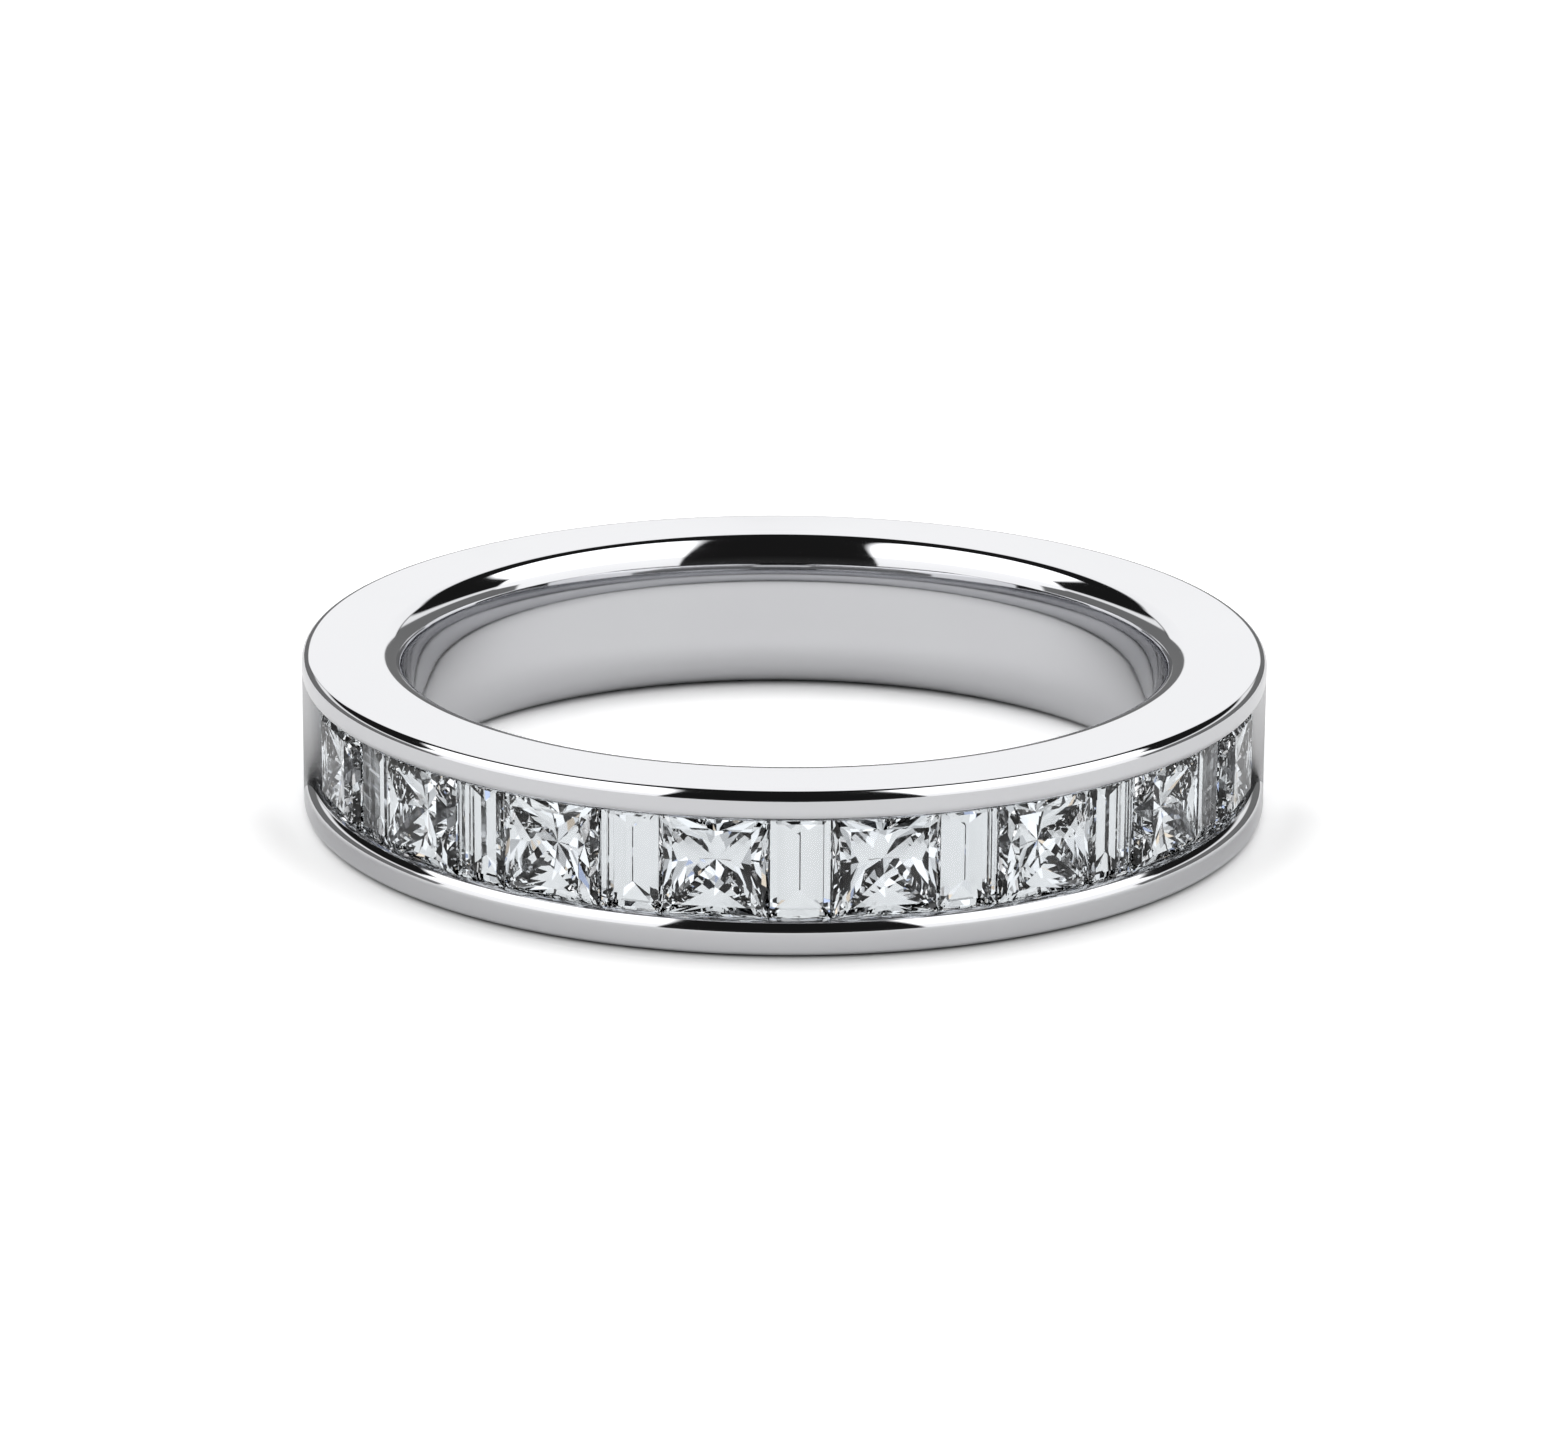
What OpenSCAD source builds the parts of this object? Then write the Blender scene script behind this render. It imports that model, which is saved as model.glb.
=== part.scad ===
// Wedding ring lying on its side: a polished band whose front half holds one row of square
// princess-cut stones and narrow baguette-cut stones, channel-set between two rounded rails.
// The finger hole runs along +Z, the middle stone faces -Y, and one side face rests on Z = 0.

/* [Band] */
// Inside diameter of the finger hole
finger_d = 16.3; // [15.5:0.1:19]
// Wall thickness, from the finger hole to the outer surface
band_t = 2.3; // [2.25:0.05:2.6]
// Width of the band along the finger
band_w = 3.5; // [3.4:0.05:4]
// Radius of the rounded outer edges
edge_r = 0.2; // [0.1:0.05:0.4]
// Height over which each inner edge curves back, for comfort
comfort_h = 1.28; // [1:0.01:1.4]
// How far that curve has drawn back at the side face
comfort_in = 0.18; // [0.15:0.01:0.25]
// Radius of the rounding between that curve and the side face
comfort_edge_r = 0.55; // [0.3:0.05:0.7]

/* [Channel] */
// Opening between the two rails
opening_w = 2.09; // [1.95:0.01:2.12]
// How far the row of stones sits above the middle of the band
row_rise = 0.05; // [0:0.01:0.1]
// Radius of the rounded inner edge of each rail
rail_r = 0.27; // [0.19:0.02:0.27]
// Thickness of the metal left under the deepest stone
floor_t = 0.35; // [0.3:0.01:0.45]
// Clearance between a stone and the metal round it
seat_gap = 0.03; // [0.02:0.01:0.04]
// Clearance between one stone and the next
stone_gap = 0.022; // [0.015:0.001:0.04]

/* [Stones] */
// Number of princess-cut stones, with one more baguette than this
princess_count = 8; // [2:2:8]
// Side of a princess-cut stone, which is also the length of a baguette
princess_w = 2.25; // [2.2:0.01:2.3]
// Width of a baguette-cut stone along the row
baguette_w = 1.25; // [1.1:0.01:1.4]
// Depth of the princess tables below the outer surface of the band
table_drop = 0.215; // [0.18:0.005:0.26]
// Height of a princess-cut stone above its girdle
crown_h = 0.27; // [0.24:0.01:0.28]
// Thickness of the girdle, the widest rim of a stone
girdle_t = 0.04; // [0.02:0.01:0.06]
// Side of a princess table, as a share of the stone
princess_table = 0.72; // [0.6:0.01:0.75]
// Rows of princess facets below the girdle, from the point outward
princess_rows = 5; // [3:1:6]
// Slope of the lowest row of princess facets
princess_main_a = 40; // [39:0.5:42]
// Slope of the row next to the girdle
princess_rim_a = 60; // [56:0.5:62]
// Width of a baguette table, as a share of the stone
baguette_table = 0.76; // [0.65:0.01:0.8]
// Height of a baguette above its girdle
baguette_crown_h = 0.07; // [0.05:0.01:0.12]
// Length of a baguette's keel
baguette_keel = 1.18; // [1:0.02:1.28]
// Slope of the two long facets that meet in a baguette's keel
baguette_main_a = 43; // [41:0.5:45]

/* [Hidden] */
$fn = 180;
margin = 1;

hole_r = finger_d / 2;
crest_r = hole_r + band_t;
mid_z = band_w / 2;
row_z = mid_z + row_rise;
rail_w = row_z - opening_w / 2;

// The comfort curve is one arc that meets the straight inner wall without a corner.
comfort_r = (comfort_in * comfort_in + comfort_h * comfort_h) / (2 * comfort_in);
comfort_c = [hole_r + comfort_r, band_w - comfort_h];
comfort_reach = comfort_r - comfort_edge_r;
comfort_rise = comfort_h - comfort_edge_r;
comfort_edge_c = [comfort_c.x - sqrt(comfort_reach * comfort_reach - comfort_rise * comfort_rise),
                  band_w - comfort_edge_r];
comfort_touch = comfort_c + (comfort_edge_c - comfort_c) * comfort_r / comfort_reach;

// Radii are distances from the axis of the ring to the middle of a stone.
table_r = crest_r - table_drop;
girdle_r = table_r - crown_h - girdle_t / 2;
half_princess = princess_w / 2;
half_baguette = baguette_w / 2;

// Rows of princess facets, counted from the point: where each one ends on the line from the
// point to the middle of a side, its slope, and the depth of its outer end below the girdle.
// The rows narrow and steepen outward.
row_narrowing = 0.8;
row_steepening = 1.3;
function row_x(k) = half_princess * pow(k / princess_rows, row_narrowing);
function row_slope(k) = princess_main_a
    + (princess_rim_a - princess_main_a) * pow((k - 1) / (princess_rows - 1), row_steepening);
function row_depth(k) = k == princess_rows ? 0
    : row_depth(k + 1) + (row_x(k + 1) - row_x(k)) * tan(row_slope(k + 1));
princess_h = row_depth(0);

// The crown of a princess cut has two slopes. They meet at a break line, above the girdle, and
// a kite facet stands at each corner.
break_h = 0.55 * crown_h;
kite_half = 0.06;
table_x = princess_table * half_princess;
break_mid = half_princess - break_h * (half_princess - table_x) / crown_h;
break_x = break_mid + kite_half;

// A baguette from its table to its lowest step: half width, half length and height of each
// level, measured from the middle of the girdle. The lowest is the narrow flat of the keel.
keel_half = 0.012;
step_half = 0.9 * half_baguette;
step_z = -0.14;
keel_z = step_z - (step_half - keel_half) * tan(baguette_main_a);
baguette_levels = [
    [baguette_table * half_baguette, half_princess - 0.21, baguette_crown_h + girdle_t / 2],
    [step_half,                      half_princess - 0.08, 0.45 * baguette_crown_h + girdle_t / 2],
    [half_baguette,                  half_princess,        girdle_t / 2],
    [half_baguette,                  half_princess,        -girdle_t / 2],
    [step_half,                      half_princess - 0.08, step_z],
    [keel_half,                      baguette_keel / 2,    keel_z]
];

// Each stone takes the angle that its girdle spans, with half a gap at either side.
princess_a = 2 * atan((half_princess + stone_gap / 2) / girdle_r);
baguette_a = 2 * atan((half_baguette + stone_gap / 2) / girdle_r);
pair_a = princess_a + baguette_a;
baguette_count = princess_count + 1;
row_a = princess_count * princess_a + baguette_count * baguette_a;
end_gap_a = 2 * atan(seat_gap / girdle_r);
channel_a = row_a + end_gap_a;

// The rails reach over the stones' edges. The corners of the widest stone lie further out than
// its middle, and the underside of each lip follows the slope of the crown.
lip_over = half_princess - opening_w / 2;
lip_rise = lip_over * break_h / (half_princess - break_x);
girdle_top = girdle_r + girdle_t / 2;
groove_r = norm([girdle_top, half_princess]) + seat_gap;
lip_r = norm([girdle_top + lip_rise, half_princess]) + seat_gap;
seat_r = girdle_r - girdle_t / 2 - seat_gap;
floor_r = hole_r + floor_t;

princess_names = [for (i = [1:princess_count]) str("princess_", i)];
baguette_names = [for (i = [1:baguette_count]) str("baguette_", i)];

// Cutter that leaves a convex corner of radius r, whose centre is the origin.
module round_corner(r) {
    difference() {
        square(r + margin);
        circle(r);
    }
}

// Cutter for one inner edge: the comfort curve, and its rounding into the side face.
module comfort_cut() {
    difference() {
        translate([hole_r - margin, comfort_c.y])
            square([comfort_in + margin, comfort_h + margin]);
        translate(comfort_c) circle(comfort_r);
    }
    difference() {
        polygon([comfort_edge_c, comfort_touch, [comfort_touch.x, band_w + margin],
                 [comfort_edge_c.x, band_w + margin]]);
        translate(comfort_edge_c) circle(comfort_edge_r);
    }
}

// Upper half of the cuts in the band's section, above its middle.
module edge_cuts() {
    comfort_cut();
    translate([crest_r - edge_r, band_w - edge_r]) round_corner(edge_r);
}

module mirror_halves(middle) {
    children();
    translate([0, 2 * middle]) mirror([0, 1]) children();
}

// Section of the band before the channel is cut: radius along X, width along Y.
module band_section() {
    difference() {
        translate([hole_r, 0]) square([band_t, band_w]);
        mirror_halves(mid_z) edge_cuts();
    }
}

// Lower half of the channel's section: rounded lip, groove for the girdles, and sloping seat.
module channel_half() {
    translate([groove_r, rail_w]) square([band_t, opening_w / 2]);
    translate([crest_r - rail_r, rail_w - rail_r]) round_corner(rail_r);
    polygon(concat(
        [[lip_r, row_z],
         [lip_r, rail_w],
         [groove_r, row_z - half_princess - seat_gap]],
        [for (k = [princess_rows:-1:1])
            [seat_r - row_depth(k), row_z - row_x(k) - seat_gap]],
        [[floor_r, row_z - row_x(1) - seat_gap],
         [floor_r, row_z]]
    ));
}

// Shapes made facing +Z are turned to face outward at an angle along the row.
module set_stone(angle) {
    rotate([0, 0, angle])
        translate([0, -girdle_r, row_z])
            rotate([90, 0, 0])
                children();
}

function quarter_turn(p, q) =
    q == 0 ? p : quarter_turn([-p.y, p.x, p.z], q - 1);

// Square stone with a table, a two-step crown with corner kites, and rows of chevrons below.
module princess_cut() {
    h = half_princess;
    top = girdle_t / 2;
    quarter = concat(
        [[table_x, table_x, top + crown_h],
         [break_x, break_mid - kite_half, top + break_h],
         [break_mid - kite_half, break_x, top + break_h],
         [h, h, top],
         [h, h, -top]],
        [for (k = [princess_rows - 1:-1:1]) [row_x(k), 0, -top - row_depth(k)]]
    );
    per = len(quarter);
    point = 4 * per;
    points = concat([for (q = [0:3]) for (p = quarter) quarter_turn(p, q)],
                    [[0, 0, -top - princess_h]]);
    table = [[0, 3 * per, 2 * per, per]];
    sides = [for (q = [0:3])
        let (a = per * q, b = per * ((q + 3) % 4))
        each [
            [b, a, a + 1, b + 2],
            [b + 2, a + 1, a + 3, b + 3],
            [a, a + 2, a + 3, a + 1],
            [b + 3, a + 3, a + 4, b + 4],
            [b + 4, a + 4, a + 5],
            [a + 4, point, a + per - 1],
            [b + 4, a + per - 1, point]
        ]
    ];
    chevrons = [for (q = [0:3])
        let (a = per * q, b = per * ((q + 3) % 4))
        for (k = [5:per - 2])
            each [[a + 4, a + k + 1, a + k], [b + 4, a + k, a + k + 1]]
    ];
    polyhedron(points, concat(table, sides, chevrons));
}

// Oblong stone whose facets are long steps, above the girdle and down to the keel.
module baguette_cut() {
    last = len(baguette_levels) - 1;
    points = [for (l = baguette_levels) for (s = [[1, 1], [-1, 1], [-1, -1], [1, -1]])
        [s.x * l[0], s.y * l[1], l[2]]];
    table = [[0, 3, 2, 1]];
    steps = [for (k = [0:last - 1]) for (j = [0:3])
        [4 * k + j, 4 * k + (j + 1) % 4, 4 * k + 4 + (j + 1) % 4, 4 * k + 4 + j]];
    keel = [[4 * last, 4 * last + 1, 4 * last + 2, 4 * last + 3]];
    polyhedron(points, concat(table, steps, keel));
}

module band() {
    color("gainsboro")
        difference() {
            rotate_extrude() band_section();
            rotate([0, 0, -90 - channel_a / 2])
                rotate_extrude(angle = channel_a) mirror_halves(row_z) channel_half();
        }
}

// Stones are numbered from -X to +X, and the middle baguette faces -Y.
module princess(i) {
    color("aliceblue")
        set_stone((i - (princess_count + 1) / 2) * pair_a) princess_cut();
}

module baguette(i) {
    color("lightcyan")
        set_stone((i - (baguette_count + 1) / 2) * pair_a) baguette_cut();
}

band();
for (i = [1:princess_count]) {
    princess(i);
}
for (i = [1:baguette_count]) {
    baguette(i);
}
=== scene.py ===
import bpy
import math
from mathutils import Matrix, Vector


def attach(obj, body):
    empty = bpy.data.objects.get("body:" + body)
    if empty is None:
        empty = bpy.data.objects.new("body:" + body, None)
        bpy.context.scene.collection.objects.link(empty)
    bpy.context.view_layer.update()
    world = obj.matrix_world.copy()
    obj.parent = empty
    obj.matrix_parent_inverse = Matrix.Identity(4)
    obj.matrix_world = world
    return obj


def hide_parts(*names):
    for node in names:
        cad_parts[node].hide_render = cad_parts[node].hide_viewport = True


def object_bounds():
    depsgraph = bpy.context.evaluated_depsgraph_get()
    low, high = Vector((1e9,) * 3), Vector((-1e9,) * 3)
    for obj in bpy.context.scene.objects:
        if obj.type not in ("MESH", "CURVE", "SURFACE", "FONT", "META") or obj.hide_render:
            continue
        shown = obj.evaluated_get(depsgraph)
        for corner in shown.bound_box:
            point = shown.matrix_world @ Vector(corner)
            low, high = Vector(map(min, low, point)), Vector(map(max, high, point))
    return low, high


# A channel-set diamond wedding ring in polished platinum, lying on a white studio table.
# The ring stands on z = 0, its finger hole runs along z and the middle stone faces -y.
# Metal is modelled in millimetres and brought down to metres as its last step.

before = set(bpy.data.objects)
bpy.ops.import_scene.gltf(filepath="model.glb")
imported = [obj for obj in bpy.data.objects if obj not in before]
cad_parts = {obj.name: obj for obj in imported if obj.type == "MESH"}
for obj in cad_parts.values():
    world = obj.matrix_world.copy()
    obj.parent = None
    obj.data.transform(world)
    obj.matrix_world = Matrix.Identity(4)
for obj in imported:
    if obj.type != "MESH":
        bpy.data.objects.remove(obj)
cadLow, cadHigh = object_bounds()  # box of the engineering model, before anything is added
mm = 0.001
scene = bpy.context.scene
print("frame loaded:", len(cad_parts), "solids")

# the three kinds of node used most
calc, ramp, mix = "ShaderNodeMath", "ShaderNodeMapRange", "ShaderNodeMix"


def linear(hexColour):
    # sRGB hex to the linear colour that the shaders want
    parts = [int(hexColour[i:i + 2], 16) / 255 for i in (0, 2, 4)]
    return [c / 12.92 if c <= 0.04045 else ((c + 0.055) / 1.055) ** 2.4 for c in parts] + [1.0]


def addNode(tree, kind, inputs=None, **settings):
    # adds a node, sets its options, then fills each input with a value or a link
    node = tree.nodes.new(kind)
    for name, value in settings.items():
        setattr(node, name, value)
    for name, value in (inputs or {}).items():
        if isinstance(value, bpy.types.NodeSocket):
            tree.links.new(value, node.inputs[name])
        else:
            node.inputs[name].default_value = value
    return node


def newMaterial(name):
    material = bpy.data.materials.new(name)
    material.use_nodes = True
    material.node_tree.nodes.clear()
    return material, material.node_tree


# Camera
cameraSetup = {
    "distance": 137.6,     # mm, from the middle of the ring's upper face
    "elevation": 16.84,    # degrees above the table
    "lookDown": 17.53,     # degrees, a little steeper, which lifts the ring off the middle
    "swing": 2.03,         # degrees, the middle stone sits that far to the right
    "roll": 0.391,         # degrees, the whole picture leans clockwise
    "focalPixels": 6343,   # focal length in pixels of the picture
    "pictureWidth": 1568,  # pixels
    "sensor": 36,          # mm
    "nearest": 0.005,      # m, it sees nothing closer
    "farthest": 20,        # m
}


def buildCamera(setup):
    data = bpy.data.cameras.new("camera")
    data.sensor_width = setup["sensor"]
    data.lens = setup["focalPixels"] / setup["pictureWidth"] * setup["sensor"]
    data.clip_start = setup["nearest"]
    data.clip_end = setup["farthest"]
    camera = bpy.data.objects.new("camera", data)
    scene.collection.objects.link(camera)
    up, swing = math.radians(setup["elevation"]), math.radians(setup["swing"])
    reach = setup["distance"] * mm
    place = Vector((-math.sin(swing) * math.cos(up), -math.cos(swing) * math.cos(up), math.sin(up)))
    place = place * reach + Vector((0, 0, cadHigh.z))
    turn = Matrix.Rotation(-swing, 4, "Z")
    tilt = Matrix.Rotation(math.radians(90 - setup["lookDown"]), 4, "X")
    roll = Matrix.Rotation(math.radians(setup["roll"]), 4, "Z")
    camera.matrix_world = Matrix.Translation(place) @ turn @ tilt @ roll
    scene.camera = camera


buildCamera(cameraSetup)
print("camera set")


# Metal finishes
# Tones and roughness run from the first value to the second, by the finish's own pattern.
metalFinish = {
    "polishTone": ("D4D4D7", "D7D8DA"),  # rails, inside and plain back, buffed to a mirror
    "polishRough": (0.025, 0.075),
    "lineLength": 6,                     # mm, buffing lines along the band
    "lineSpacing": 0.12,                 # mm, between those lines
    "lineRadius": 9,                     # mm, turns an angle into a length along the band
    "patchSize": 3,                      # mm, patches of slightly softer polish
    "cutTone": ("C4C4C6", "E6E6E7"),     # seat inside the channel, bright-cut
    "cutRough": (0.04, 0.12),
    "facetSize": 0.2,                    # mm, facets left by the graver
    "facetTilt": 0.55,                   # how far each leans, as a share of the normal
    "cutGrain": 0.1,                     # mm
    "millTone": ("DADADB", "E8E8E9"),    # end walls of the channel, as milled
    "millRough": (0.18, 0.28),
    "millSpacing": 0.05,                 # mm, between the cutter's marks
}


def polishedPlatinum(finish):
    # Platinum 950, machined and then buffed by hand to a mirror.
    # Bright neutral grey with crisp reflections, faint buffing lines along the band and hairline wear.
    material, tree = newMaterial("polished platinum")
    coords = addNode(tree, "ShaderNodeTexCoord")
    xyz = addNode(tree, "ShaderNodeSeparateXYZ", {0: coords.outputs["Object"]})
    angle = addNode(tree, calc, {0: xyz.outputs["Y"], 1: xyz.outputs["X"]}, operation="ARCTAN2")
    along = addNode(tree, calc, {0: angle.outputs[0], 1: finish["lineRadius"] / finish["lineLength"]},
                    operation="MULTIPLY")
    across = addNode(tree, calc, {0: xyz.outputs["Z"], 1: 1 / (finish["lineSpacing"] * mm)},
                     operation="MULTIPLY")
    lineSpace = addNode(tree, "ShaderNodeCombineXYZ", {0: along.outputs[0], 1: across.outputs[0]})
    lines = addNode(tree, "ShaderNodeTexNoise",
                    {"Vector": lineSpace.outputs[0], "Scale": 1.0, "Detail": 3.0})
    patches = addNode(tree, "ShaderNodeTexNoise",
                      {"Vector": coords.outputs["Object"], "Scale": 1 / (finish["patchSize"] * mm),
                       "Detail": 2.0})
    wear = addNode(tree, calc, {0: lines.outputs["Fac"], 1: patches.outputs["Fac"]},
                   operation="MULTIPLY")
    # the product of the two patterns seldom leaves 0.1 to 0.45
    smooth, dragged = finish["polishRough"]
    rough = addNode(tree, ramp, {"Value": wear.outputs[0], "From Min": 0.1, "From Max": 0.45,
                                 "To Min": smooth, "To Max": dragged})
    dark, light = finish["polishTone"]
    tone = addNode(tree, mix,
                   {"Factor": patches.outputs["Fac"], "A": linear(dark), "B": linear(light)},
                   data_type="RGBA")
    shader = addNode(tree, "ShaderNodeBsdfPrincipled",
                     {"Base Color": tone.outputs["Result"], "Metallic": 1.0,
                      "Roughness": rough.outputs[0]})
    addNode(tree, "ShaderNodeOutputMaterial", {"Surface": shader.outputs[0]})
    return material


def brightCutSeat(finish):
    # The same platinum inside the channel, bright-cut with a graver: small flat facets, each
    # tilted its own way, which show through the stones as black and white splinters.
    material, tree = newMaterial("bright-cut platinum")
    coords = addNode(tree, "ShaderNodeTexCoord")
    cuts = addNode(tree, "ShaderNodeTexVoronoi",
                   {"Vector": coords.outputs["Object"], "Scale": 1 / (finish["facetSize"] * mm)})
    # a cut's random colour, 0 to 1, becomes a lean to either side
    tilt = finish["facetTilt"]
    lean = addNode(tree, "ShaderNodeVectorMath",
                   {0: cuts.outputs["Color"], 1: [2 * tilt] * 3, 2: [-tilt] * 3},
                   operation="MULTIPLY_ADD")
    surface = addNode(tree, "ShaderNodeNewGeometry")
    tilted = addNode(tree, "ShaderNodeVectorMath",
                     {0: surface.outputs["Normal"], 1: lean.outputs[0]}, operation="ADD")
    facet = addNode(tree, "ShaderNodeVectorMath", {0: tilted.outputs[0]}, operation="NORMALIZE")
    grain = addNode(tree, "ShaderNodeTexNoise",
                    {"Vector": coords.outputs["Object"], "Scale": 1 / (finish["cutGrain"] * mm),
                     "Detail": 2.0})
    dark, light = finish["cutTone"]
    tone = addNode(tree, mix,
                   {"Factor": grain.outputs["Fac"], "A": linear(dark), "B": linear(light)},
                   data_type="RGBA")
    smooth, coarse = finish["cutRough"]
    rough = addNode(tree, ramp, {"Value": grain.outputs["Fac"], "To Min": smooth, "To Max": coarse})
    shader = addNode(tree, "ShaderNodeBsdfPrincipled",
                     {"Base Color": tone.outputs["Result"], "Metallic": 1.0,
                      "Roughness": rough.outputs[0], "Normal": facet.outputs[0]})
    addNode(tree, "ShaderNodeOutputMaterial", {"Surface": shader.outputs[0]})
    return material


def milledEnd(finish):
    # The same platinum on the flat wall at each end of the channel, left as the cutter made it:
    # a soft grey sheen with fine cutter marks.
    material, tree = newMaterial("milled platinum")
    coords = addNode(tree, "ShaderNodeTexCoord")
    marks = addNode(tree, "ShaderNodeTexNoise",
                    {"Vector": coords.outputs["Object"], "Scale": 1 / (finish["millSpacing"] * mm),
                     "Detail": 2.0})
    smooth, coarse = finish["millRough"]
    rough = addNode(tree, ramp, {"Value": marks.outputs["Fac"], "To Min": smooth, "To Max": coarse})
    dark, light = finish["millTone"]
    tone = addNode(tree, mix,
                   {"Factor": marks.outputs["Fac"], "A": linear(dark), "B": linear(light)},
                   data_type="RGBA")
    shader = addNode(tree, "ShaderNodeBsdfPrincipled",
                     {"Base Color": tone.outputs["Result"], "Metallic": 1.0,
                      "Roughness": rough.outputs[0]})
    addNode(tree, "ShaderNodeOutputMaterial", {"Surface": shader.outputs[0]})
    return material


# Band
bandShape = {
    "fingerRadius": 8.15,    # mm, straight wall of the finger hole
    "crestRadius": 10.45,    # outer surface of the rails
    "width": 3.5,            # along the finger
    "edgeRound": 0.2,        # outer edges
    "comfortHeight": 1.28,   # inner edges curve back over this height
    "comfortIn": 0.18,       # and by this much at the side face
    "comfortRound": 0.55,    # rounding into the side face
    "rowMiddle": 1.8,        # height of the middle of the stones
    "opening": 2.09,         # between the two rails
    "lipRound": 0.268,       # inner edge of a rail
    "lipDepth": 0.2875,      # depths below the crest: underside of a rail where it ends,
    "grooveTop": 0.392,      # groove that grips the stones' girdles,
    "grooveBottom": 0.555,   # its lower side,
    "floorDepth": 1.95,      # and the slot under the stones
    "stoneHalf": 1.125,      # half a square stone
    "stoneGap": 0.03,        # between a stone and its seat
    "facetRows": 5,          # rows of facets under a square stone, which the seat follows
    "lowSlope": 40,          # degrees, the row at the point
    "rimSlope": 60,          # degrees, the row at the girdle
    "rowNarrowing": 0.8,     # the rows narrow outward by this power
    "rowSteepening": 1.3,    # and steepen by this one
    "channelAngle": 170.45,  # degrees of the band that the channel takes
    "arcSteps": 18,          # segments in each rounded corner
    "channelSteps": 216,     # segments round the channel
    "plainSteps": 240,       # segments round the plain back
    "weld": 0.0005,          # points closer than this are one
    "holeSkin": 0.1,         # faces no deeper than this in the wall of the hole count as that wall
    "sharpAngle": 25,        # degrees, an edge that turns more stays crisp
}


def startOutline(name, place):
    bpy.ops.object.select_all(action="DESELECT")
    bpy.ops.mesh.primitive_plane_add(size=1, location=(place[0], 0, place[1]))
    outline = bpy.context.object
    outline.name = name
    bpy.ops.object.transform_apply(location=True)
    bpy.ops.object.mode_set(mode="EDIT")
    bpy.ops.mesh.select_mode(type="VERT")
    bpy.ops.mesh.merge(type="CENTER")
    return outline


def lineTo(start, end):
    step = (end[0] - start[0], 0, end[1] - start[1])
    bpy.ops.mesh.extrude_vertices_move(TRANSFORM_OT_translate={"value": step})
    return end


def arcRound(start, centre, degrees, steps):
    # spins the end of the outline about a centre, anticlockwise with the finger hole on the left
    a = math.radians(degrees)
    bpy.ops.mesh.spin(steps=steps, angle=a, center=(centre[0], 0, centre[1]), axis=(0, 1, 0))
    r, z = start[0] - centre[0], start[1] - centre[1]
    return (centre[0] + r * math.cos(a) - z * math.sin(a), centre[1] + r * math.sin(a) + z * math.cos(a))


def seatSteps(shape):
    # lip, groove, seat and slot on one side of the stones: depth below the crest, and distance
    # from the middle of the row
    half, gap, rows = shape["stoneHalf"], shape["stoneGap"], shape["facetRows"]
    rowEnd = [half * (row / rows) ** shape["rowNarrowing"] for row in range(rows + 1)]
    steps = [(shape["lipDepth"], shape["opening"] / 2), (shape["grooveTop"], half + gap)]
    depth = shape["grooveBottom"]
    for row in range(rows, 0, -1):
        steps.append((depth, rowEnd[row] + gap))
        share = ((row - 1) / (rows - 1)) ** shape["rowSteepening"]
        slope = shape["lowSlope"] + (shape["rimSlope"] - shape["lowSlope"]) * share
        depth += (rowEnd[row] - rowEnd[row - 1]) * math.tan(math.radians(slope))
    steps.append((shape["floorDepth"], rowEnd[1] + gap))
    return steps


def drawSection(shape, name, withChannel):
    crest, width, steps = shape["crestRadius"], shape["width"], shape["arcSteps"]
    edge, rise, lip = shape["edgeRound"], shape["comfortHeight"], shape["lipRound"]
    middle = shape["rowMiddle"]
    comfortRadius = (shape["comfortIn"] ** 2 + rise ** 2) / (2 * shape["comfortIn"])
    reach = comfortRadius - shape["comfortRound"]
    turn = math.degrees(math.asin((rise - shape["comfortRound"]) / reach))
    comfortCentre = shape["fingerRadius"] + comfortRadius
    roundCentre = comfortCentre - reach * math.cos(math.radians(turn))
    first = (crest - edge, 0)
    outline = startOutline(name, first)
    at = arcRound(first, (crest - edge, edge), 90, steps)
    lowLip, highLip = middle - shape["opening"] / 2 - lip, middle + shape["opening"] / 2 + lip
    at = lineTo(at, (crest, lowLip))
    if withChannel:
        seat = seatSteps(shape)
        at = arcRound(at, (crest - lip, lowLip), 90, steps)
        for depth, away in seat:
            at = lineTo(at, (crest - depth, middle - away))
        for depth, away in reversed(seat):
            at = lineTo(at, (crest - depth, middle + away))
        at = lineTo(at, (crest - lip, highLip - lip))
        at = arcRound(at, (crest - lip, highLip), 90, steps)
    else:
        at = lineTo(at, (crest, highLip))
    at = lineTo(at, (crest, width - edge))
    at = arcRound(at, (crest - edge, width - edge), 90, steps)
    at = lineTo(at, (roundCentre, width))
    at = arcRound(at, (roundCentre, width - shape["comfortRound"]), 90 - turn, steps // 2)
    at = arcRound(at, (comfortCentre, width - rise), turn, steps)
    at = lineTo(at, (shape["fingerRadius"], rise))
    at = arcRound(at, (comfortCentre, rise), turn, steps)
    at = arcRound(at, (roundCentre, shape["comfortRound"]), 90 - turn, steps // 2)
    lineTo(at, first)
    bpy.ops.mesh.select_all(action="SELECT")
    bpy.ops.mesh.remove_doubles(threshold=shape["weld"])
    bpy.ops.object.mode_set(mode="OBJECT")
    return outline


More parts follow.
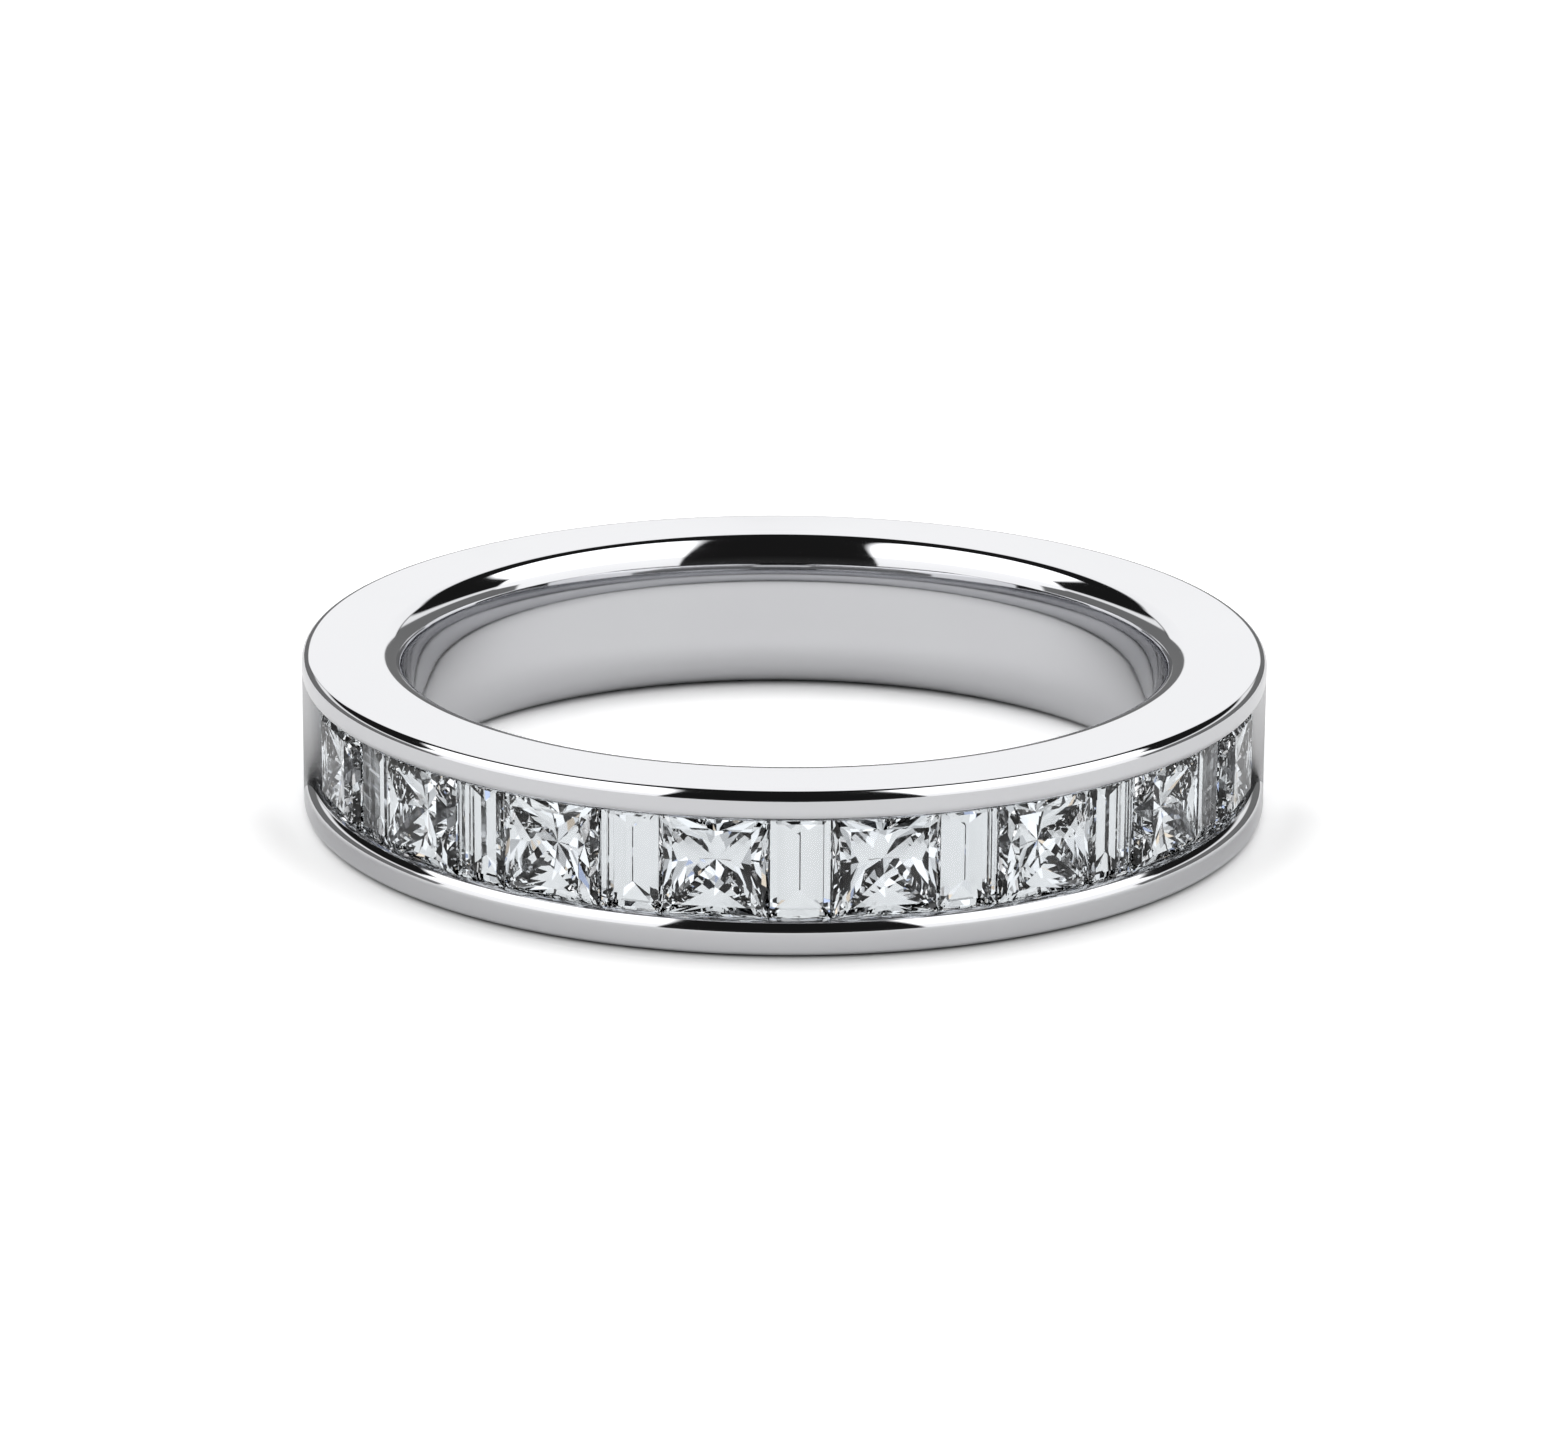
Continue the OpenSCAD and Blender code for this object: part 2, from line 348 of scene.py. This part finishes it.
def sweepSection(outline, startDegrees, degrees, steps):
    # turns the section to where its stretch starts, then spins it clockwise seen from above
    outline.rotation_euler.z = math.radians(startDegrees)
    bpy.ops.object.transform_apply(rotation=True)
    bpy.ops.object.mode_set(mode="EDIT")
    bpy.ops.mesh.select_all(action="SELECT")
    bpy.ops.mesh.spin(steps=steps, angle=math.radians(degrees), center=(0, 0, 0), axis=(0, 0, 1))
    bpy.ops.object.mode_set(mode="OBJECT")


def closeChannelEnd(band, side):
    # fills the flat wall at one end of the channel: the only open edges on that side
    bpy.ops.object.mode_set(mode="EDIT")
    bpy.ops.mesh.select_mode(type="EDGE")
    bpy.ops.mesh.select_all(action="DESELECT")
    bpy.ops.mesh.select_non_manifold()
    bpy.ops.object.mode_set(mode="OBJECT")
    for edge in band.data.edges:
        middle = (band.data.vertices[edge.vertices[0]].co + band.data.vertices[edge.vertices[1]].co) / 2
        edge.select = edge.select and middle.x * side > 0
    bpy.ops.object.mode_set(mode="EDIT")
    bpy.ops.mesh.edge_face_add()
    bpy.ops.object.mode_set(mode="OBJECT")


def joinParts(channel, plain, shape):
    bpy.ops.object.select_all(action="DESELECT")
    channel.select_set(True)
    plain.select_set(True)
    bpy.context.view_layer.objects.active = channel
    bpy.ops.object.join()
    band = bpy.context.object
    bpy.ops.object.mode_set(mode="EDIT")
    bpy.ops.mesh.select_mode(type="VERT")
    bpy.ops.mesh.select_all(action="SELECT")
    bpy.ops.mesh.remove_doubles(threshold=shape["weld"])
    bpy.ops.object.mode_set(mode="OBJECT")
    closeChannelEnd(band, -1)
    closeChannelEnd(band, 1)
    bpy.ops.object.mode_set(mode="EDIT")
    bpy.ops.mesh.select_all(action="SELECT")
    bpy.ops.mesh.normals_make_consistent(inside=False)
    bpy.ops.object.mode_set(mode="OBJECT")
    return band


def dressBand(band, shape, finish):
    band.data.materials.append(polishedPlatinum(finish))
    band.data.materials.append(brightCutSeat(finish))
    band.data.materials.append(milledEnd(finish))
    innermost = shape["fingerRadius"] + shape["holeSkin"]
    outermost = shape["crestRadius"] - shape["lipDepth"]
    reach = shape["stoneHalf"] + shape["stoneGap"] + shape["weld"]
    for face in band.data.polygons:
        deep = innermost < math.hypot(face.center.x, face.center.y) < outermost
        if deep and abs(face.center.z - shape["rowMiddle"]) < reach:
            # the swept faces have four corners, the two end walls many
            face.material_index = 1 if len(face.vertices) == 4 else 2


def buildBand(shape, finish):
    half = shape["channelAngle"] / 2
    channel = drawSection(shape, "channel part", True)
    sweepSection(channel, -90 + half, 2 * half, shape["channelSteps"])
    plain = drawSection(shape, "plain part", False)
    sweepSection(plain, -90 - half, 360 - 2 * half, shape["plainSteps"])
    band = joinParts(channel, plain, shape)
    dressBand(band, shape, finish)
    bpy.ops.object.shade_smooth_by_angle(angle=math.radians(shape["sharpAngle"]))
    bpy.ops.object.modifier_add(type="WEIGHTED_NORMAL")
    band.modifiers[-1].keep_sharp = True
    bpy.ops.object.modifier_apply(modifier=band.modifiers[-1].name)
    band.scale = (mm, mm, mm)
    bpy.ops.object.transform_apply(scale=True)
    band.name = band.data.name = "polished_band"
    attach(band, "root")
    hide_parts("band")
    print("band built:", len(band.data.polygons), "faces")


buildBand(bandShape, metalFinish)


# Stones
stoneFinish = {
    "tone": ("FDFEFF", "FFFFFE"),  # a breath of body colour drifts between these
    "driftSize": 1.5,              # mm, over about this length
    "ior": 2.417,
    "mirror": 0.2,                 # how much of the surface's own reflection is kept
}


def cutDiamond(finish):
    # Colourless diamond, cut and polished on the wheel: clear, the highest sparkle of any clear stone.
    material, tree = newMaterial("cut diamond")
    coords = addNode(tree, "ShaderNodeTexCoord")
    drift = addNode(tree, "ShaderNodeTexNoise",
                    {"Vector": coords.outputs["Object"], "Scale": 1 / (finish["driftSize"] * mm),
                     "Detail": 1.0})
    cool, warm = finish["tone"]
    tone = addNode(tree, mix,
                   {"Factor": drift.outputs["Fac"], "A": linear(cool), "B": linear(warm)},
                   data_type="RGBA")
    shader = addNode(tree, "ShaderNodeBsdfPrincipled",
                     {"Base Color": tone.outputs["Result"], "Roughness": 0.0, "IOR": finish["ior"],
                      "Transmission Weight": 1.0, "Specular Tint": [finish["mirror"]] * 3 + [1.0]})
    addNode(tree, "ShaderNodeOutputMaterial", {"Surface": shader.outputs[0]})
    return material


def dressStones(finish):
    diamond = cutDiamond(finish)
    for name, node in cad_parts.items():
        if name != "band":
            node.data.materials.clear()
            node.data.materials.append(diamond)
    print("stones dressed")


dressStones(stoneFinish)


# Studio
# Light comes from a world laid out by direction. Each direction is put on a disc seen from the zenith:
# u to either side, v to the front, and the horizon on the circle of radius 1. Soft edges are half
# widths on the disc.
studio = {
    "discLimit": 0.3,        # least of 1 + z, which ends the disc below the horizon
    "softbox": 2.05,         # brightness of the two overhead softboxes
    "boxBack": -0.39,        # v of their back edge
    "boxTurn": 0.2,          # u from which that edge runs to the front
    "boxSlant": 0.9,         # how fast it runs
    "boxSlantOver": 0.3,     # and over how much of u
    "boxReach": 0.6,         # radius where the softboxes turn into the cards
    "boxSoft": 0.04,         # soft edge there
    "gapHalf": 0.11,         # half width of the dark gap between them, straight above the ring
    "gapWiden": 0.25,        # times v and v squared, what it gains to the front
    "gapSoft": 0.008,        # its soft edge
    "gapFade": 0.7,          # radius from which it brightens
    "gapFar": 0.03,          # its brightness at the horizon
    "cornerLength": 0.24,    # the softboxes' inner back corners are cut off over this much of v
    "cornerCut": 0.6,        # cube root of how much is cut at the back edge
    "cardHigh": 1.42,        # brightness of the front cards just under the softboxes
    "cardLow": 1.3,          # and at the horizon
    "cardLater": 0.15,       # towards the horizon they begin this much farther forward
    "cardLaterFrom": 0.74,   # from this radius
    "cardLaterFull": 0.8,    # and in full from this one
    "darkRoom": 0.012,       # what is left of the room behind and between the softboxes
    "roomReach": 0.65,       # outer radius of the dark room
    "roomRecess": 0.2375,    # round the card it reaches farther: half width of that part
    "recessSoft": 0.0125,    # and its soft edge
    "strip": 1.1,            # narrow light strip round the back, outside the dark room
    "stripReach": 0.72,      # its outer radius
    "backLow": 0.2,          # dim wall below that strip
    "edgeSoft": 0.012,       # soft edge of room, strip and softboxes' back
    "backCard": 1.22,        # card behind the ring, which the ring's upper face mirrors
    "backCardHalf": 0.22,    # its half width
    "backCardTop": -0.56,    # v of its upper edge
    "backCardSoft": 0.015,   # soft edge of both
    "backCardReach": 0.768,  # radius of its lower edge
    "backCardCrisp": 0.006,  # soft edge of that one
}


def discPlace(tree, setup):
    # u, v and the radius, on the disc, of the direction that light comes from
    coords = addNode(tree, "ShaderNodeTexCoord")
    xyz = addNode(tree, "ShaderNodeSeparateXYZ", {0: coords.outputs["Generated"]})
    up = addNode(tree, calc, {0: xyz.outputs["Z"], 1: 1.0}, operation="ADD")
    up = addNode(tree, calc, {0: up.outputs[0], 1: setup["discLimit"]}, operation="MAXIMUM")
    u = addNode(tree, calc, {0: xyz.outputs["X"], 1: up.outputs[0]}, operation="DIVIDE")
    u = addNode(tree, calc, {0: u.outputs[0]}, operation="ABSOLUTE").outputs[0]
    v = addNode(tree, calc, {0: xyz.outputs["Y"], 1: up.outputs[0]}, operation="DIVIDE")
    v = addNode(tree, calc, {0: v.outputs[0], 1: -1.0}, operation="MULTIPLY").outputs[0]
    vSquare = addNode(tree, calc, {0: v, 1: v}, operation="MULTIPLY")
    radius = addNode(tree, calc, {0: u, 1: u, 2: vSquare.outputs[0]}, operation="MULTIPLY_ADD")
    radius = addNode(tree, calc, {0: radius.outputs[0]}, operation="SQRT").outputs[0]
    return u, v, radius


def wallBehind(tree, setup, u, v, radius):
    # dim wall, light strip, dark room, and the card straight behind the ring
    soft = setup["edgeSoft"]
    wall = addNode(tree, ramp, {"Value": radius, "From Min": setup["stripReach"] - soft,
                                "From Max": setup["stripReach"] + soft,
                                "To Min": setup["strip"], "To Max": setup["backLow"]})
    inRoom = addNode(tree, ramp, {"Value": radius, "From Min": setup["roomReach"] + soft,
                                  "From Max": setup["roomReach"] - soft})
    recess = addNode(tree, ramp, {"Value": u, "From Min": setup["roomRecess"] + setup["recessSoft"],
                                  "From Max": setup["roomRecess"] - setup["recessSoft"]})
    within = addNode(tree, ramp,
                     {"Value": radius, "From Min": setup["backCardReach"] + setup["backCardCrisp"],
                      "From Max": setup["backCardReach"] - setup["backCardCrisp"]})
    recess = addNode(tree, calc, {0: recess.outputs[0], 1: within.outputs[0]}, operation="MULTIPLY")
    inRoom = addNode(tree, calc, {0: inRoom.outputs[0], 1: recess.outputs[0]}, operation="MAXIMUM")
    wall = addNode(tree, mix,
                   {"Factor": inRoom.outputs[0], "A": wall.outputs[0], "B": setup["darkRoom"]})
    soft = setup["backCardSoft"]
    across = addNode(tree, ramp, {"Value": u, "From Min": setup["backCardHalf"] + soft,
                                  "From Max": setup["backCardHalf"] - soft})
    below = addNode(tree, ramp, {"Value": v, "From Min": setup["backCardTop"] + soft,
                                 "From Max": setup["backCardTop"] - soft})
    card = addNode(tree, calc, {0: across.outputs[0], 1: below.outputs[0]}, operation="MULTIPLY")
    card = addNode(tree, calc, {0: card.outputs[0], 1: within.outputs[0]}, operation="MULTIPLY")
    wall = addNode(tree, mix, {"Factor": card.outputs[0], "A": wall.outputs[0], "B": setup["backCard"]})
    return wall.outputs[0]


def lightsInFront(tree, setup, u, v, radius):
    # softboxes overhead, cards under them, and the dark gap down the middle
    lights = addNode(tree, ramp, {"Value": radius, "From Min": setup["boxReach"], "From Max": 1.0,
                                  "To Min": setup["cardHigh"], "To Max": setup["cardLow"]})
    box = addNode(tree, ramp, {"Value": radius, "From Min": setup["boxReach"] + setup["boxSoft"],
                               "From Max": setup["boxReach"] - setup["boxSoft"]})
    lights = addNode(tree, mix,
                     {"Factor": box.outputs[0], "A": lights.outputs[0], "B": setup["softbox"]})
    gap = addNode(tree, calc, {0: v, 1: setup["gapWiden"], 2: setup["gapWiden"]},
                  operation="MULTIPLY_ADD")
    gap = addNode(tree, calc, {0: gap.outputs[0], 1: v, 2: setup["gapHalf"]}, operation="MULTIPLY_ADD")
    corner = addNode(tree, ramp, {"Value": v, "From Min": setup["boxBack"],
                                  "From Max": setup["boxBack"] + setup["cornerLength"],
                                  "To Min": setup["cornerCut"], "To Max": 0.0})
    corner = addNode(tree, calc, {0: corner.outputs[0], 1: 3.0}, operation="POWER")
    gap = addNode(tree, calc, {0: gap.outputs[0], 1: corner.outputs[0]}, operation="ADD")
    inGap = addNode(tree, calc, {0: gap.outputs[0], 1: u}, operation="SUBTRACT")
    inGap = addNode(tree, ramp, {"Value": inGap.outputs[0], "From Min": -setup["gapSoft"],
                                 "From Max": setup["gapSoft"]})
    gapTone = addNode(tree, ramp, {"Value": radius, "From Min": setup["gapFade"], "From Max": 1.0,
                                   "To Min": setup["darkRoom"], "To Max": setup["gapFar"]})
    lights = addNode(tree, mix,
                     {"Factor": inGap.outputs[0], "A": lights.outputs[0], "B": gapTone.outputs[0]})
    return lights.outputs[0]


def aheadOfWall(tree, setup, u, v, radius):
    # 1 where softboxes and cards are, 0 behind their back edge
    edge = addNode(tree, calc, {0: u, 1: setup["boxTurn"]}, operation="SUBTRACT")
    edge = addNode(tree, calc, {0: edge.outputs[0], 1: 0.0}, operation="MAXIMUM")
    edge = addNode(tree, calc, {0: edge.outputs[0], 1: setup["boxSlantOver"]}, operation="MINIMUM")
    edge = addNode(tree, calc, {0: edge.outputs[0], 1: -setup["boxSlant"], 2: v},
                   operation="MULTIPLY_ADD")
    later = addNode(tree, ramp, {"Value": radius, "From Min": setup["cardLaterFrom"],
                                 "From Max": setup["cardLaterFull"],
                                 "To Min": 0.0, "To Max": -setup["cardLater"]})
    edge = addNode(tree, calc, {0: edge.outputs[0], 1: later.outputs[0]}, operation="ADD")
    ahead = addNode(tree, ramp, {"Value": edge.outputs[0],
                                 "From Min": setup["boxBack"] - setup["edgeSoft"],
                                 "From Max": setup["boxBack"] + setup["edgeSoft"]})
    return ahead.outputs[0]


# What the stones refract in place of the studio: a busy room, as small patches of white wall and
# dark flags, with a few bluish windows and warm lamps.
surround = {
    "fineness": 12.0,     # how many patches to a radian
    "darkShare": 0.2,     # share of them that are dark flags
    "dark": 0.012,        # brightness of those
    "low": 0.45,          # brightness of the others, from
    "high": 1.25,         # to
    "white": "F5FAFF",    # walls
    "blueShare": 0.07,    # share that are windows
    "blue": "B9C9EC",
    "warmShare": 0.04,    # and lamps
    "warm": "F5E8D6",
}


def roomThroughStones(tree, setup):
    coords = addNode(tree, "ShaderNodeTexCoord")
    patches = addNode(tree, "ShaderNodeTexVoronoi",
                      {"Vector": coords.outputs["Generated"], "Scale": setup["fineness"]})
    chance = addNode(tree, "ShaderNodeSeparateColor", {0: patches.outputs["Color"]})
    glow = addNode(tree, ramp, {"Value": chance.outputs[1], "To Min": setup["low"],
                                "To Max": setup["high"]})
    lit = addNode(tree, calc, {0: chance.outputs[0], 1: setup["darkShare"]}, operation="GREATER_THAN")
    glow = addNode(tree, mix, {"Factor": lit.outputs[0], "A": setup["dark"], "B": glow.outputs[0]})
    isBlue = addNode(tree, calc, {0: chance.outputs[2], 1: 1 - setup["blueShare"]},
                     operation="GREATER_THAN")
    isWarm = addNode(tree, calc, {0: chance.outputs[2], 1: setup["warmShare"]}, operation="LESS_THAN")
    fire = addNode(tree, mix,
                   {"Factor": isBlue.outputs[0], "A": linear(setup["white"]), "B": linear(setup["blue"])},
                   data_type="RGBA")
    fire = addNode(tree, mix,
                   {"Factor": isWarm.outputs[0], "A": fire.outputs["Result"], "B": linear(setup["warm"])},
                   data_type="RGBA")
    return glow.outputs[0], fire.outputs["Result"]


def buildStudioLight(setup, roomSetup):
    world = bpy.data.worlds.new("white studio")
    scene.world = world
    world.use_nodes = True
    tree = world.node_tree
    tree.nodes.clear()
    u, v, radius = discPlace(tree, setup)
    light = addNode(tree, mix, {"Factor": aheadOfWall(tree, setup, u, v, radius),
                                "A": wallBehind(tree, setup, u, v, radius),
                                "B": lightsInFront(tree, setup, u, v, radius)})
    glow, fire = roomThroughStones(tree, roomSetup)
    path = addNode(tree, "ShaderNodeLightPath")
    throughStone = path.outputs["Is Transmission Ray"]
    strength = addNode(tree, mix, {"Factor": throughStone, "A": light.outputs[0], "B": glow})
    tint = addNode(tree, mix, {"Factor": throughStone, "A": linear("FFFFFF"), "B": fire},
                   data_type="RGBA")
    sky = addNode(tree, "ShaderNodeBackground",
                  {"Color": tint.outputs["Result"], "Strength": strength.outputs[0]})
    addNode(tree, "ShaderNodeOutputWorld", {"Surface": sky.outputs[0]})


tableSetup = {
    "size": 3,               # m
    "drop": 0.01,            # mm, its top below the ring
    "tone": "F4F4F4",
    "throughStone": "DFE3E6",  # seen through the stones it is dimmer and a little bluer
    "seen": 1.6,             # how white it is in the picture, past what it reflects
    "contactRadius": 9.5,    # mm, middle of the ring's lower face
    "contactHalf": 0.75,     # mm, half the width of that face
    # the shadows below are painted into the table's tone, darker close to the ring's lower face
    "sideShare": 0.2,        # how far the shadows reach at the ring's sides, of what they do in front
    "shadowDeep": 0.88,      # contact shadow in the picture: how dark
    "shadowNear": 0.48,      # and how far it reaches, mm
    "shadowSoft": 0.15,      # wide soft shadow, also in reflections: how dark
    "shadowWide": 1.6,       # and how far it reaches, mm
}


def mattAcrylic(setup):
    # Cast acrylic sheet with a matt face: even white, no sheen, with a painted contact shadow and a
    # painted soft shadow round where the ring rests on it.
    material, tree = newMaterial("matt white acrylic")
    # mm from the ring's lower face, to the outside or into the finger hole
    coords = addNode(tree, "ShaderNodeTexCoord")
    reach = addNode(tree, "ShaderNodeVectorMath", {0: coords.outputs["Object"]}, operation="LENGTH")
    away = addNode(tree, calc, {0: reach.outputs["Value"], 1: 1 / mm, 2: -setup["contactRadius"]},
                   operation="MULTIPLY_ADD")
    away = addNode(tree, calc, {0: away.outputs[0]}, operation="ABSOLUTE")
    away = addNode(tree, calc, {0: away.outputs[0], 1: setup["contactHalf"]}, operation="SUBTRACT")
    away = addNode(tree, calc, {0: away.outputs[0], 1: 0.0}, operation="MAXIMUM")
    # the shadow is tighter at the ring's sides, by the part of the direction that runs to the front
    xyz = addNode(tree, "ShaderNodeSeparateXYZ", {0: coords.outputs["Object"]})
    ahead = addNode(tree, calc, {0: xyz.outputs["Y"], 1: reach.outputs["Value"]}, operation="DIVIDE")
    ahead = addNode(tree, calc, {0: ahead.outputs[0], 1: ahead.outputs[0]}, operation="MULTIPLY")
    ahead = addNode(tree, calc, {0: ahead.outputs[0], 1: 1 - setup["sideShare"], 2: setup["sideShare"]},
                    operation="MULTIPLY_ADD")
    away = addNode(tree, calc, {0: away.outputs[0], 1: ahead.outputs[0]}, operation="DIVIDE")
    # painted shadows: a wide soft one that reflections see too, and a dark contact shadow that only the
    # camera sees
    wide = addNode(tree, calc, {0: away.outputs[0], 1: -1 / setup["shadowWide"]}, operation="MULTIPLY")
    wide = addNode(tree, calc, {0: wide.outputs[0]}, operation="EXPONENT")
    wide = addNode(tree, calc, {0: wide.outputs[0], 1: -setup["shadowSoft"], 2: 1.0},
                   operation="MULTIPLY_ADD")
    close = addNode(tree, calc, {0: away.outputs[0], 1: -1 / setup["shadowNear"]}, operation="MULTIPLY")
    close = addNode(tree, calc, {0: close.outputs[0]}, operation="EXPONENT")
    close = addNode(tree, calc, {0: close.outputs[0], 1: -setup["shadowDeep"], 2: 1.0},
                    operation="MULTIPLY_ADD")
    close = addNode(tree, calc, {0: close.outputs[0], 1: setup["seen"]}, operation="MULTIPLY")
    path = addNode(tree, "ShaderNodeLightPath")
    lift = addNode(tree, mix, {"Factor": path.outputs["Is Camera Ray"], "A": 1.0, "B": close.outputs[0]})
    shade = addNode(tree, calc, {0: wide.outputs[0], 1: lift.outputs[0]}, operation="MULTIPLY")
    tone = addNode(tree, mix, {"Factor": 1.0, "A": linear(setup["tone"]), "B": shade.outputs[0]},
                   data_type="RGBA", blend_type="MULTIPLY")
    tone = addNode(tree, mix, {"Factor": path.outputs["Is Transmission Ray"],
                               "A": tone.outputs["Result"], "B": linear(setup["throughStone"])},
                   data_type="RGBA")
    shader = addNode(tree, "ShaderNodeBsdfDiffuse", {"Color": tone.outputs["Result"]})
    addNode(tree, "ShaderNodeOutputMaterial", {"Surface": shader.outputs[0]})
    return material


def buildTable(setup):
    bpy.ops.object.select_all(action="DESELECT")
    bpy.ops.mesh.primitive_plane_add(size=setup["size"], location=(0, 0, -setup["drop"] * mm))
    table = bpy.context.object
    table.name = "studio_table"
    table.data.materials.append(mattAcrylic(setup))


buildStudioLight(studio, surround)
buildTable(tableSetup)
scene.view_settings.view_transform = "Standard"
scene.view_settings.look = "None"
# a ray crosses many facets before it leaves a stone
scene.cycles.max_bounces = 24
scene.cycles.transmission_bounces = 24
scene.cycles.glossy_bounces = 10
scene.cycles.caustics_refractive = False
print("studio lit")
